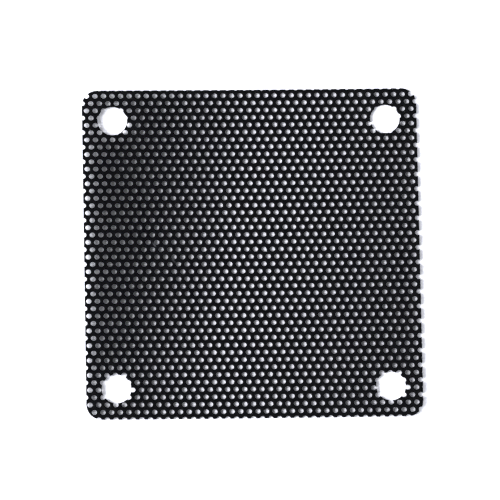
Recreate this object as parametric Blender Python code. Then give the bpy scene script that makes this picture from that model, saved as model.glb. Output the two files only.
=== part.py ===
"""Fan dust filter: one square of black perforated PVC film, in metres, lying on its back face with +Z up.

The film is punched all over in staggered rows, then die-cut to a square with round corners and four
screw holes. The die cuts straight through the perforation, so every edge and screw hole is nibbled.
The origin is under the middle of the sheet, on the surface that it lies on.
"""

import math

import bmesh
import bpy
from mathutils import Matrix

# Screw holes, at the corners of a 50 mm fan's screw square, and how far that square sits from the middle
SCREW_SPACING = 0.040
SCREW_HOLE_DIAMETER = 0.0043
SCREW_SHIFT = (-0.00011, -0.00003)

# Die-cut outline, its edges this far outside the screw square
SCREW_TO_EDGE = 0.00455
SIDE = SCREW_SPACING + 2 * SCREW_TO_EDGE
CORNER_RADIUS = 0.0023
THICKNESS = 0.00045

# Perforation of the film: holes along a row, rows apart, and each hole
FILM_PITCH = 0.001253
FILM_ROW_PITCH = 0.0010985
FILM_HOLE_DIAMETER = 0.00077

# The film lies a hair askew in the die: how far its first column and lowest row lie outside the left and
# bottom edges, how much its columns lean to the right and its rows fall
FIRST_COLUMN_DROP = 0.00001
LOWEST_ROW_DROP = 0.00006
COLUMN_LEAN = 0.0033
ROW_FALL = 0.0012

# Where no cut passes, the perforation is drawn larger, with this many holes to a row and the film's open
# area, and stays this far from the cuts and their nibbles
FIELD_COLUMNS = 14
FIELD_LAND = 0.0004

# Curl: how high the left and right edges stand, how far the line where the film lies on the table is
# turned from Y, and how much lower the left side is at its two corners
LEFT_RISE = 0.0006
RIGHT_RISE = 0.00025
CURL_SLANT = 0.2
CORNER_DROOP = 0.45

# Facets
HOLE_SIDES = 8
SCREW_HOLE_SIDES = 28
CORNER_STEPS = 6

FILM_COLOUR = (0.011, 0.011, 0.0125, 1.0)
FILM_ROUGHNESS = 0.45


def clear_scene():
    for obj in list(bpy.data.objects):
        bpy.data.objects.remove(obj)


def film_material():
    """Semi-matt black PVC."""
    material = bpy.data.materials.new("black_pvc_film")
    material.use_nodes = True
    shader = material.node_tree.nodes["Principled BSDF"]
    shader.inputs["Base Color"].default_value = FILM_COLOUR
    shader.inputs["Roughness"].default_value = FILM_ROUGHNESS
    shader.inputs["Metallic"].default_value = 0.0
    return material


def new_object(name, bm):
    """An object made from a bmesh, which is freed."""
    mesh = bpy.data.meshes.new(name)
    bm.to_mesh(mesh)
    bm.free()
    obj = bpy.data.objects.new(name, mesh)
    bpy.context.scene.collection.objects.link(obj)
    return obj


def staggered(first_x, first_y, pitch, row_pitch, columns, rows):
    """Centres of staggered rows, every second row half a pitch to the right."""
    centres = []
    for row in range(rows):
        stagger = pitch / 2 * (row % 2)
        for column in range(columns):
            centres.append((first_x + stagger + column * pitch, first_y + row * row_pitch))
    return centres


def screw_centres():
    half = SCREW_SPACING / 2
    return [(SCREW_SHIFT[0] + x, SCREW_SHIFT[1] + y) for x in (-half, half) for y in (-half, half)]


def outside_outline(centre):
    """How far a point lies outside the die-cut outline, negative within it."""
    past_x, past_y = (abs(value) - (SIDE / 2 - CORNER_RADIUS) for value in centre)
    beyond = math.hypot(max(past_x, 0.0), max(past_y, 0.0))
    return beyond + min(max(past_x, past_y), 0.0) - CORNER_RADIUS


def outside_screw_hole(centre):
    """How far a point lies from the rim of the nearest screw hole, negative within the hole."""
    return min(math.dist(centre, screw) for screw in screw_centres()) - SCREW_HOLE_DIAMETER / 2


def film_centres():
    """Centres of the film's own holes, over the whole sheet and a column and a row beyond it."""
    columns = math.floor(SIDE / FILM_PITCH) + 2
    rows = math.floor(SIDE / FILM_ROW_PITCH) + 2
    first_x = -SIDE / 2 - FIRST_COLUMN_DROP - FILM_PITCH / 2
    first_y = -SIDE / 2 - LOWEST_ROW_DROP
    return [
        (along + COLUMN_LEAN * up, up - ROW_FALL * along)
        for along, up in staggered(first_x, first_y, FILM_PITCH, FILM_ROW_PITCH, columns, rows)
    ]


def nibble_centres():
    """The film's own holes that the outline or a screw hole cuts through, by more than one facet is deep."""
    reach = FILM_HOLE_DIAMETER / 2 * math.cos(math.pi / HOLE_SIDES)
    return [
        centre
        for centre in film_centres()
        if min(abs(outside_outline(centre)), abs(outside_screw_hole(centre))) < reach
    ]


def field_enlargement():
    """How many times larger the field's perforation is than the film's, for its rows to fill the sheet."""
    margin = FILM_HOLE_DIAMETER + FIELD_LAND
    return (SIDE - 2 * margin) / ((FIELD_COLUMNS - 0.5) * FILM_PITCH + FILM_HOLE_DIAMETER)


def field_centres(nibbles, enlargement):
    """The larger holes within the sheet, about its middle, where they clear the cuts and the nibbles."""
    pitch = enlargement * FILM_PITCH
    row_pitch = enlargement * FILM_ROW_PITCH
    rows = math.floor(SIDE / row_pitch)
    first_x = -(FIELD_COLUMNS - 0.5) / 2 * pitch
    first_y = -(rows - 1) / 2 * row_pitch
    clear = enlargement * FILM_HOLE_DIAMETER / 2 + FIELD_LAND
    clear_of_nibble = clear + FILM_HOLE_DIAMETER / 2
    return [
        centre
        for centre in staggered(first_x, first_y, pitch, row_pitch, FIELD_COLUMNS, rows)
        if outside_outline(centre) < -clear
        and outside_screw_hole(centre) > clear
        and all(math.dist(centre, nibble) > clear_of_nibble for nibble in nibbles)
    ]


def blank():
    """The square of film before it is perforated, its four upright edges rounded."""
    bm = bmesh.new()
    size = Matrix.Diagonal((SIDE, SIDE, THICKNESS, 1.0))
    bmesh.ops.create_cube(bm, size=1.0, matrix=Matrix.Translation((0.0, 0.0, THICKNESS / 2)) @ size)
    upright = [edge for edge in bm.edges if edge.verts[0].co.xy == edge.verts[1].co.xy]
    bmesh.ops.bevel(
        bm,
        geom=upright,
        affect="EDGES",
        offset_type="OFFSET",
        offset=CORNER_RADIUS,
        segments=CORNER_STEPS,
        profile=0.5,
    )
    return new_object("filter_sheet", bm)


def add_punches(bm, centres, diameter, sides):
    """Faceted punches through the film, a flat side to each axis, each with the area of the round hole."""
    facet_radius = diameter / 2 * math.sqrt(2 * math.pi / (sides * math.sin(2 * math.pi / sides)))
    turn = Matrix.Rotation(math.pi / sides, 4, "Z")
    for x, y in centres:
        bmesh.ops.create_cone(
            bm,
            cap_ends=True,
            segments=sides,
            radius1=facet_radius,
            radius2=facet_radius,
            depth=3 * THICKNESS,
            matrix=Matrix.Translation((x, y, THICKNESS / 2)) @ turn,
        )


def cut(obj, name, punches):
    """Cuts the punches out of the object for good, and keeps them as a hidden helper."""
    cutter = new_object(name, punches)
    cutter.hide_render = True
    cutter.display_type = "WIRE"
    boolean = obj.modifiers.new(name, "BOOLEAN")
    boolean.operation = "DIFFERENCE"
    boolean.solver = "EXACT"
    boolean.object = cutter
    graph = bpy.context.evaluated_depsgraph_get()
    result = bpy.data.meshes.new_from_object(obj.evaluated_get(graph))
    obj.modifiers.clear()
    obj.data = result


def perforate(sheet):
    """Cuts the nibbles and the field of larger holes."""
    nibbles = nibble_centres()
    enlargement = field_enlargement()
    field = field_centres(nibbles, enlargement)
    punches = bmesh.new()
    add_punches(punches, nibbles, FILM_HOLE_DIAMETER, HOLE_SIDES)
    add_punches(punches, field, enlargement * FILM_HOLE_DIAMETER, HOLE_SIDES)
    cut(sheet, "perforation_cutter", punches)


def cut_screw_holes(sheet):
    punches = bmesh.new()
    add_punches(punches, screw_centres(), SCREW_HOLE_DIAMETER, SCREW_HOLE_SIDES)
    cut(sheet, "screw_hole_cutter", punches)


def lift(x, y):
    """How high the curl raises a point of the sheet."""
    side = (x - CURL_SLANT * y) / (SIDE / 2)
    if side > 0:
        return RIGHT_RISE * side**2
    droop = CORNER_DROOP * (y / (SIDE / 2)) ** 2
    return LEFT_RISE * side**2 * (2 + side) * (1 - droop)


def curl(obj):
    """Raises both sides of the flat sheet, once its faces are even enough to follow the curve."""
    bm = bmesh.new()
    bm.from_mesh(obj.data)
    bmesh.ops.triangulate(bm, faces=bm.faces, quad_method="BEAUTY", ngon_method="BEAUTY")
    level = [edge for edge in bm.edges if all(abs(face.normal.z) > 0.5 for face in edge.link_faces)]
    bmesh.ops.beautify_fill(bm, faces=bm.faces, edges=level, method="AREA")
    for vertex in bm.verts:
        vertex.co.z += lift(vertex.co.x, vertex.co.y)
    bm.to_mesh(obj.data)
    bm.free()


def finish(obj):
    """Shades the walls of the holes smooth and gives the film its material."""
    obj.data.shade_smooth()
    obj.data.set_sharp_from_angle(angle=math.radians(50))
    obj.data.materials.clear()
    obj.data.materials.append(film_material())


def main():
    clear_scene()
    sheet = blank()
    perforate(sheet)
    cut_screw_holes(sheet)
    curl(sheet)
    finish(sheet)


main()
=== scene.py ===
"""Looks of the fan dust filter: the film with its whole perforation at real size, lying on a white table."""

import math

import bmesh
import bpy
from mathutils import Matrix, Vector
from mathutils.geometry import delaunay_2d_cdt


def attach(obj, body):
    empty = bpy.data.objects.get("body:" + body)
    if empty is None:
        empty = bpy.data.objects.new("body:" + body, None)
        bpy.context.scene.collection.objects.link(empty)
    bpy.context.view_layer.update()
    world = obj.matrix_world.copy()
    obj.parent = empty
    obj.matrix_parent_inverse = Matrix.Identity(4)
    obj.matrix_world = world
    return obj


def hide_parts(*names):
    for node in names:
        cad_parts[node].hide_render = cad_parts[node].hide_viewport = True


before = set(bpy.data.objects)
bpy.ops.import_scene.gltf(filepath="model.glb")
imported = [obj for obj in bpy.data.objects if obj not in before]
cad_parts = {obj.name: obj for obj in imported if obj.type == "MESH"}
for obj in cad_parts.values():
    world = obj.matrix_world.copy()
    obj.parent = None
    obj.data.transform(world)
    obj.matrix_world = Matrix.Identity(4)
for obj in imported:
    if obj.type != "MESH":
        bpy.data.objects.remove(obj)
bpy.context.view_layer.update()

# Sizes of the real film, in metres
SCREW_SPACING = 0.040
SCREW_HOLE_DIAMETER = 0.0043
SCREW_SHIFT = (-0.00011, -0.00003)
SIDE = 0.0491
CORNER_RADIUS = 0.0023
THICKNESS = 0.00045
FILM_PITCH = 0.001253
FILM_ROW_PITCH = 0.0010985
FILM_HOLE_DIAMETER = 0.00077

# The film lies a hair askew in the die: how far its first column and lowest row lie outside the left and
# bottom edges, how much its columns lean to the right and its rows fall
FIRST_COLUMN_DROP = 0.00001
LOWEST_ROW_DROP = 0.00006
COLUMN_LEAN = 0.0033
ROW_FALL = 0.0012

# Curl: how high the left and right edges stand, how far the line where the film lies on the table is
# turned from Y, and how much lower the left side is at its two corners
LEFT_RISE = 0.0006
RIGHT_RISE = 0.00025
CURL_SLANT = 0.2
CORNER_DROOP = 0.45

# The punches leave the upper rim of each hole slightly rolled over
ROLLOVER_WIDTH = 0.00004
ROLLOVER_DEPTH = 0.00003

# One hole near the middle is torn: its middle, how far the tear reaches from there, and which way in degrees
TORN_HOLE = (0.001755, 0.000653)
TEAR_REACH = 0.00062
TEAR_TURN = -44.0

# A face that faces less far up or down than this is part of a punched wall, or of a rolled rim
WALL_SLOPE = 0.5
RIM_SLOPE = 0.95

# Facets, and the angle in degrees from which an edge is shaded sharp
HOLE_SIDES = 14
TORN_HOLE_SIDES = 48
SCREW_HOLE_SIDES = 72
CORNER_STEPS = 16
SHARP_ANGLE = 35.0

# For the triangulation: keep what lies within the drawn faces, and join points this close together
WITHIN_FACES = 1
POINT_TOLERANCE = 1e-8

# PVC: its colour where darkest and palest, and the finish of its faces, rolled rims and punched walls
FILM_DARK = (0.0007, 0.0009, 0.0018)
FILM_PALE = (0.0018, 0.0021, 0.0034)
FILM_SPECULAR = 0.2
FILM_ROUGHNESS = 0.4
RIM_ROUGHNESS = 0.28
WALL_SPECULAR = 0.1
WALL_ROUGHNESS = (0.6, 0.85)

# Its embossed grain, rolling streaks and clouds of tone, in lumps to a metre, and how much the streaks change
# the roughness
GRAIN_PER_METRE = 9000.0
GRAIN_HEIGHT = 0.000004
STREAKS_PER_METRE = 2500.0
STREAK_ROUGHNESS = 0.06
CLOUDS_PER_METRE = 350.0

# Scales of the noise along the axes: even, drawn out along Y in the streaks, and upright on the walls
EVEN = (1.0, 1.0, 1.0)
ALONG_Y = (1.0, 0.03, 1.0)
UPRIGHT = (1.0, 1.0, 0.15)

# Most of the noise lies between these, and its middle part between the closer two
NOISE_RANGE = (0.3, 0.7)
NOISE_MIDDLE = (0.35, 0.65)

# Two scuffs on the upper face: the middle of each, which way it runs in degrees, and its length
SCUFF_MIDDLE = (-0.01426, 0.00134)
SCUFF_TURN = -52.0
SCUFF_LENGTH = 0.0009
FAINT_SCUFF_MIDDLE = (-0.0115, -0.00103)
FAINT_SCUFF_TURN = -50.0
FAINT_SCUFF_LENGTH = 0.0012
FAINT_SCUFF_STRENGTH = 0.4
SCUFF_WIDTH = 0.00023
SCUFF_COLOUR = (0.14, 0.148, 0.162)
SCUFF_ROUGHNESS = 0.8

# The camera looks down at the sheet from a little below the photograph's lower edge
CAMERA_ELEVATION = 77.355
CAMERA_AZIMUTH = -11.08
CAMERA_ROLL = 10.229
CAMERA_DISTANCE = 1.27324
CAMERA_TARGET = Vector((-0.000262, 0.000577, 0.0))
FOCAL_PIXELS = 8711.1
IMAGE_PIXELS = 500.0
SENSOR_WIDTH = 36.0
CLIP_START = 0.01
CLIP_END = 20.0

# Light: two lamps from the left, each with its angle from straight above, its direction and its width in
# degrees, and the brightness that it gives to a white table. The sky darkens from its sides to its top.
KEY_TILT = 43.5
KEY_AZIMUTH = 187.5
KEY_SPREAD = 38.0
KEY_LIGHT = 0.5
LOW_TILT = 66.0
LOW_AZIMUTH = 200.0
LOW_SPREAD = 20.0
LOW_LIGHT = 0.07
SKY_SIDES = 2.5
SKY_TOP = 0.08

# The table: its white as the camera sees it, where it washes out, and as it lights the film from below, its
# size, and how far it lies under the film
TABLE_SEEN = (2.0, 2.035, 2.22)
TABLE_WHITE = 0.8
TABLE_SIZE = 6.0
TABLE_GAP = 0.00001


def hole_centres():
    """Centres of the film's holes, in staggered rows from the bottom left, that touch the sheet."""
    centres = []
    rows = math.floor(SIDE / FILM_ROW_PITCH) + 2
    columns = math.floor(SIDE / FILM_PITCH) + 3
    for row in range(rows):
        for column in range(-1, columns):
            along = (column + 0.5 - 0.5 * (row % 2)) * FILM_PITCH - FIRST_COLUMN_DROP - SIDE / 2
            up = row * FILM_ROW_PITCH - LOWEST_ROW_DROP - SIDE / 2
            centre = (along + COLUMN_LEAN * up, up - ROW_FALL * along)
            if outside_outline(centre) < FILM_HOLE_DIAMETER / 2:
                centres.append(centre)
    return centres


def screw_centres():
    half = SCREW_SPACING / 2
    return [(SCREW_SHIFT[0] + x, SCREW_SHIFT[1] + y) for x in (-half, half) for y in (-half, half)]


def outside_outline(centre):
    """How far a point lies outside the die-cut outline, negative within it."""
    past_x, past_y = (abs(value) - (SIDE / 2 - CORNER_RADIUS) for value in centre)
    beyond = math.hypot(max(past_x, 0.0), max(past_y, 0.0))
    return beyond + min(max(past_x, past_y), 0.0) - CORNER_RADIUS


def outside_screw_hole(centre):
    """How far a point lies from the rim of the nearest screw hole, negative within the hole."""
    return min(math.dist(centre, screw) for screw in screw_centres()) - SCREW_HOLE_DIAMETER / 2


def circle(centre, radius, sides):
    """Points of a round hole, a flat side to each axis."""
    turns = [2 * math.pi * (step + 0.5) / sides for step in range(sides)]
    return [(centre[0] + radius * math.cos(turn), centre[1] + radius * math.sin(turn)) for turn in turns]


def torn_hole(centre, radius):
    """Points of a round hole drawn out to a sharp tip, its sides tangent to the circle."""
    reach = math.acos(radius / TEAR_REACH)
    points = []
    for x, y in circle((0.0, 0.0), 1.0, TORN_HOLE_SIDES):
        off_tip = abs(math.remainder(math.atan2(y, x) - math.radians(TEAR_TURN), 2 * math.pi))
        out = radius / math.cos(max(reach - off_tip, 0.0))
        points.append((centre[0] + out * x, centre[1] + out * y))
    return points


def outline():
    """Points of the square with its rounded corners."""
    points = []
    inset = SIDE / 2 - CORNER_RADIUS
    for quarter, (side_x, side_y) in enumerate(((1, 1), (-1, 1), (-1, -1), (1, -1))):
        for step in range(CORNER_STEPS + 1):
            turn = math.pi / 2 * (quarter + step / CORNER_STEPS)
            x = side_x * inset + CORNER_RADIUS * math.cos(turn)
            y = side_y * inset + CORNER_RADIUS * math.sin(turn)
            points.append((x, y))
    return points


class Plan:
    """Closed loops drawn on the film, for one triangulation."""

    def __init__(self):
        self.points = []
        self.faces = []
        self.edges = []

    def add_loop(self, loop, hole=True):
        """Adds a loop and gives its points. It bounds the film or a hole, or else is only a line."""
        first = len(self.points)
        indices = list(range(first, first + len(loop)))
        self.points.extend(Vector(point) for point in loop)
        if hole:
            self.faces.append(indices)
        else:
            self.edges.extend(zip(indices, indices[1:] + indices[:1]))
        return indices


def draw_plan():
    """The outline and every hole, and which of the points are on a rolled rim."""
    plan = Plan()
    plan.add_loop(outline())
    for centre in screw_centres():
        plan.add_loop(circle(centre, SCREW_HOLE_DIAMETER / 2, SCREW_HOLE_SIDES))
    rolled = set()
    radius = FILM_HOLE_DIAMETER / 2
    for centre in hole_centres():
        if math.dist(centre, TORN_HOLE) < radius:
            plan.add_loop(torn_hole(centre, radius))
            continue
        rim = plan.add_loop(circle(centre, radius, HOLE_SIDES))
        room = min(-outside_outline(centre), outside_screw_hole(centre))
        if room > radius + 2 * ROLLOVER_WIDTH:
            plan.add_loop(circle(centre, radius + ROLLOVER_WIDTH, HOLE_SIDES), hole=False)
            rolled.update(rim)
    return plan, rolled


def slot_of(face):
    """Which material a face has: 0 for the film's faces, 1 for its punched walls, 2 for the rolled rims."""
    if abs(face.normal.z) < WALL_SLOPE:
        return 1
    return 2 if abs(face.normal.z) < RIM_SLOPE else 0


def film_mesh():
    """The flat film as one closed mesh, its upper rims rolled over, with slots for the walls and the rims."""
    plan, rolled = draw_plan()
    found = delaunay_2d_cdt(plan.points, plan.edges, plan.faces, WITHIN_FACES, POINT_TOLERANCE)
    points, _, triangles, point_sources, _, triangle_sources = found
    film = [triangle for triangle, sources in zip(triangles, triangle_sources) if sources == [0]]
    bm = bmesh.new()
    lower = {}
    upper = {}
    for index in sorted({index for triangle in film for index in triangle}):
        drop = ROLLOVER_DEPTH if rolled.intersection(point_sources[index]) else 0.0
        lower[index] = bm.verts.new((*points[index], 0.0))
        upper[index] = bm.verts.new((*points[index], THICKNESS - drop))
    sides = {}
    for first, second, third in film:
        bm.faces.new((upper[first], upper[second], upper[third]))
        bm.faces.new((lower[third], lower[second], lower[first]))
        sides.update({(first, second): True, (second, third): True, (third, first): True})
    for start, end in sides:
        if (end, start) not in sides:
            bm.faces.new((lower[start], lower[end], upper[end], upper[start]))
    bm.normal_update()
    for face in bm.faces:
        face.material_index = slot_of(face)
    return bm


def lift(x, y):
    """How high the curl raises a point of the film."""
    side = (x - CURL_SLANT * y) / (SIDE / 2)
    if side > 0:
        return RIGHT_RISE * side**2
    droop = CORNER_DROOP * (y / (SIDE / 2)) ** 2
    return LEFT_RISE * side**2 * (2 + side) * (1 - droop)


def curl(bm):
    for vertex in bm.verts:
        vertex.co.z += lift(vertex.co.x, vertex.co.y)


def new_material(name):
    """A material with its nodes, its links and its shader."""
    material = bpy.data.materials.new(name)
    material.use_nodes = True
    nodes = material.node_tree.nodes
    return material, nodes, material.node_tree.links, nodes["Principled BSDF"]


def noise(nodes, links, stretch, scale, detail=2.0):
    """Noise in the object's own metres, this many lumps to a metre, stretched along the axes."""
    coordinates = nodes.new("ShaderNodeTexCoord")
    mapping = nodes.new("ShaderNodeMapping")
    mapping.inputs["Scale"].default_value = stretch
    texture = nodes.new("ShaderNodeTexNoise")
    texture.inputs["Scale"].default_value = scale
    texture.inputs["Detail"].default_value = detail
    links.new(coordinates.outputs["Object"], mapping.inputs["Vector"])
    links.new(mapping.outputs["Vector"], texture.inputs["Vector"])
    return texture.outputs["Fac"]


def spread_over(nodes, links, value, low, high, to_low, to_high):
    """A value between low and high turned into one between to_low and to_high."""
    ramp = nodes.new("ShaderNodeMapRange")
    ramp.inputs["From Min"].default_value = low
    ramp.inputs["From Max"].default_value = high
    ramp.inputs["To Min"].default_value = to_low
    ramp.inputs["To Max"].default_value = to_high
    links.new(value, ramp.inputs["Value"])
    return ramp.outputs["Result"]


def blend_colours(nodes, links, factor, first, second):
    """Two colours, each one value or another node's output, mixed by a factor."""
    mix = nodes.new("ShaderNodeMix")
    mix.data_type = "RGBA"
    links.new(factor, mix.inputs["Factor"])
    for name, colour in (("A", first), ("B", second)):
        socket = next(item for item in mix.inputs if item.type == "RGBA" and item.name == name)
        if isinstance(colour, tuple):
            socket.default_value = (*colour, 1.0)
        else:
            links.new(colour, socket)
    return next(item for item in mix.outputs if item.type == "RGBA")


def math_node(nodes, links, operation, first, second):
    """A Math node with two inputs, each a number or another node's output."""
    node = nodes.new("ShaderNodeMath")
    node.operation = operation
    for socket, value in zip(node.inputs, (first, second)):
        if isinstance(value, float):
            socket.default_value = value
        else:
            links.new(value, socket)
    return node.outputs[0]


def scuff(nodes, links, middle, turn, length):
    """A short straight scuff: 1 along its middle, 0 off it."""
    coordinates = nodes.new("ShaderNodeTexCoord")
    mapping = nodes.new("ShaderNodeMapping")
    mapping.vector_type = "TEXTURE"
    mapping.inputs["Location"].default_value = (*middle, THICKNESS)
    mapping.inputs["Rotation"].default_value = (0.0, 0.0, math.radians(turn))
    mapping.inputs["Scale"].default_value = (length / 2, SCUFF_WIDTH / 2, 4 * THICKNESS)
    gradient = nodes.new("ShaderNodeTexGradient")
    gradient.gradient_type = "SPHERICAL"
    links.new(coordinates.outputs["Object"], mapping.inputs["Vector"])
    links.new(mapping.outputs["Vector"], gradient.inputs["Vector"])
    return math_node(nodes, links, "POWER", gradient.outputs["Fac"], 0.5)


def both_scuffs(nodes, links):
    """1 along the stronger scuff, less along the faint one, 0 off them."""
    strong = scuff(nodes, links, SCUFF_MIDDLE, SCUFF_TURN, SCUFF_LENGTH)
    faint = scuff(nodes, links, FAINT_SCUFF_MIDDLE, FAINT_SCUFF_TURN, FAINT_SCUFF_LENGTH)
    faint = math_node(nodes, links, "MULTIPLY", faint, FAINT_SCUFF_STRENGTH)
    return math_node(nodes, links, "MAXIMUM", strong, faint)


def bump(nodes, links, height, distance, shader):
    node = nodes.new("ShaderNodeBump")
    node.inputs["Distance"].default_value = distance
    links.new(height, node.inputs["Height"])
    links.new(node.outputs["Normal"], shader.inputs["Normal"])


def film_material(name, roughness):
    """Semi-matt black PVC: a fine embossed grain, faint rolling streaks, clouds of tone and two scuffs."""
    material, nodes, links, shader = new_material(name)
    shader.inputs["Specular IOR Level"].default_value = FILM_SPECULAR
    grain = noise(nodes, links, EVEN, GRAIN_PER_METRE, detail=4.0)
    streaks = noise(nodes, links, ALONG_Y, STREAKS_PER_METRE)
    clouds = noise(nodes, links, EVEN, CLOUDS_PER_METRE, detail=3.0)
    tone = spread_over(nodes, links, clouds, *NOISE_RANGE, 0.0, 1.0)
    colour = blend_colours(nodes, links, tone, FILM_DARK, FILM_PALE)
    scuffs = both_scuffs(nodes, links)
    colour = blend_colours(nodes, links, scuffs, colour, SCUFF_COLOUR)
    links.new(colour, shader.inputs["Base Color"])
    streaked = spread_over(nodes, links, streaks, *NOISE_RANGE, -STREAK_ROUGHNESS, STREAK_ROUGHNESS)
    scuffed = spread_over(nodes, links, scuffs, 0.0, 1.0, roughness, SCUFF_ROUGHNESS)
    links.new(math_node(nodes, links, "ADD", streaked, scuffed), shader.inputs["Roughness"])
    bump(nodes, links, grain, GRAIN_HEIGHT, shader)
    return material


def wall_material():
    """The same PVC where punches and knife have sheared it: duller, and drawn across its thickness."""
    material, nodes, links, shader = new_material("black_pvc_cut")
    shader.inputs["Specular IOR Level"].default_value = WALL_SPECULAR
    drawn = noise(nodes, links, UPRIGHT, GRAIN_PER_METRE, detail=3.0)
    tone = spread_over(nodes, links, drawn, *NOISE_MIDDLE, 0.0, 1.0)
    links.new(blend_colours(nodes, links, tone, FILM_DARK, FILM_PALE), shader.inputs["Base Color"])
    rough = spread_over(nodes, links, drawn, *NOISE_RANGE, *WALL_ROUGHNESS)
    links.new(rough, shader.inputs["Roughness"])
    bump(nodes, links, drawn, GRAIN_HEIGHT, shader)
    return material


def make_film():
    bm = film_mesh()
    curl(bm)
    mesh = bpy.data.meshes.new("perforated_film")
    bm.to_mesh(mesh)
    bm.free()
    mesh.shade_smooth()
    mesh.set_sharp_from_angle(angle=math.radians(SHARP_ANGLE))
    mesh.materials.append(film_material("black_pvc_film", FILM_ROUGHNESS))
    mesh.materials.append(wall_material())
    mesh.materials.append(film_material("black_pvc_rim", RIM_ROUGHNESS))
    film = bpy.data.objects.new("perforated_film", mesh)
    bpy.context.scene.collection.objects.link(film)
    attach(film, "root")
    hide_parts("filter_sheet")


def table_material():
    """White, and brighter to the camera, where it washes out as the photograph's table does."""
    material = bpy.data.materials.new("white_table")
    material.use_nodes = True
    nodes = material.node_tree.nodes
    links = material.node_tree.links
    nodes.clear()
    lit = nodes.new("ShaderNodeBsdfDiffuse")
    lit.inputs["Color"].default_value = (TABLE_WHITE, TABLE_WHITE, TABLE_WHITE, 1.0)
    seen = nodes.new("ShaderNodeBsdfDiffuse")
    seen.inputs["Color"].default_value = (*TABLE_SEEN, 1.0)
    path = nodes.new("ShaderNodeLightPath").outputs
    in_view = math_node(nodes, links, "MAXIMUM", path["Is Camera Ray"], path["Is Glossy Ray"])
    in_view = math_node(nodes, links, "MAXIMUM", in_view, path["Is Transmission Ray"])
    mix = nodes.new("ShaderNodeMixShader")
    output = nodes.new("ShaderNodeOutputMaterial")
    links.new(in_view, mix.inputs["Fac"])
    links.new(lit.outputs[0], mix.inputs[1])
    links.new(seen.outputs[0], mix.inputs[2])
    links.new(mix.outputs[0], output.inputs["Surface"])
    return material


def make_table():
    bm = bmesh.new()
    bmesh.ops.create_grid(bm, x_segments=1, y_segments=1, size=TABLE_SIZE / 2)
    mesh = bpy.data.meshes.new("table")
    bm.to_mesh(mesh)
    bm.free()
    mesh.materials.append(table_material())
    table = bpy.data.objects.new("table", mesh)
    table.location.z = -TABLE_GAP
    bpy.context.scene.collection.objects.link(table)


def make_lamp(name, tilt, azimuth, spread, light):
    """A lamp that gives a white table this brightness."""
    lamp = bpy.data.lights.new(name, "SUN")
    lamp.energy = math.pi * light / math.cos(math.radians(tilt))
    lamp.angle = math.radians(spread)
    lamp_object = bpy.data.objects.new(name, lamp)
    lamp_object.rotation_euler = (0.0, math.radians(tilt), math.radians(azimuth))
    bpy.context.scene.collection.objects.link(lamp_object)


def make_sky():
    """Brighter round the sides than at the top, and plain white where the camera sees it."""
    world = bpy.data.worlds.new("sky")
    world.use_nodes = True
    nodes = world.node_tree.nodes
    links = world.node_tree.links
    direction = nodes.new("ShaderNodeTexCoord")
    upward = nodes.new("ShaderNodeSeparateXYZ")
    links.new(direction.outputs["Generated"], upward.inputs[0])
    from_top = math_node(nodes, links, "SUBTRACT", 1.0, upward.outputs["Z"])
    fade = math_node(nodes, links, "POWER", from_top, 2.0)
    path = nodes.new("ShaderNodeLightPath")
    strength = nodes.new("ShaderNodeMix")
    strength.inputs["B"].default_value = 1.0
    links.new(path.outputs["Is Camera Ray"], strength.inputs["Factor"])
    links.new(spread_over(nodes, links, fade, 0.0, 1.0, SKY_TOP, SKY_SIDES), strength.inputs["A"])
    links.new(strength.outputs["Result"], nodes["Background"].inputs["Strength"])
    nodes["Background"].inputs["Color"].default_value = (1.0, 1.0, 1.0, 1.0)
    bpy.context.scene.world = world


def make_camera():
    data = bpy.data.cameras.new("camera")
    data.sensor_width = SENSOR_WIDTH
    data.lens = FOCAL_PIXELS / IMAGE_PIXELS * SENSOR_WIDTH
    data.clip_start = CLIP_START
    data.clip_end = CLIP_END
    camera = bpy.data.objects.new("camera", data)
    azimuth = math.radians(CAMERA_AZIMUTH)
    elevation = math.radians(CAMERA_ELEVATION)
    back = Vector(
        (
            math.sin(azimuth) * math.cos(elevation),
            -math.cos(azimuth) * math.cos(elevation),
            math.sin(elevation),
        )
    )
    turned = back.to_track_quat("Z", "Y").to_matrix()
    rolled = turned @ Matrix.Rotation(math.radians(CAMERA_ROLL), 3, "Z")
    camera.matrix_world = Matrix.Translation(CAMERA_TARGET + CAMERA_DISTANCE * back) @ rolled.to_4x4()
    bpy.context.scene.collection.objects.link(camera)
    bpy.context.scene.camera = camera


def main():
    make_film()
    make_table()
    make_lamp("key", KEY_TILT, KEY_AZIMUTH, KEY_SPREAD, KEY_LIGHT)
    make_lamp("low", LOW_TILT, LOW_AZIMUTH, LOW_SPREAD, LOW_LIGHT)
    make_sky()
    make_camera()
    bpy.context.scene.view_settings.view_transform = "Standard"


main()
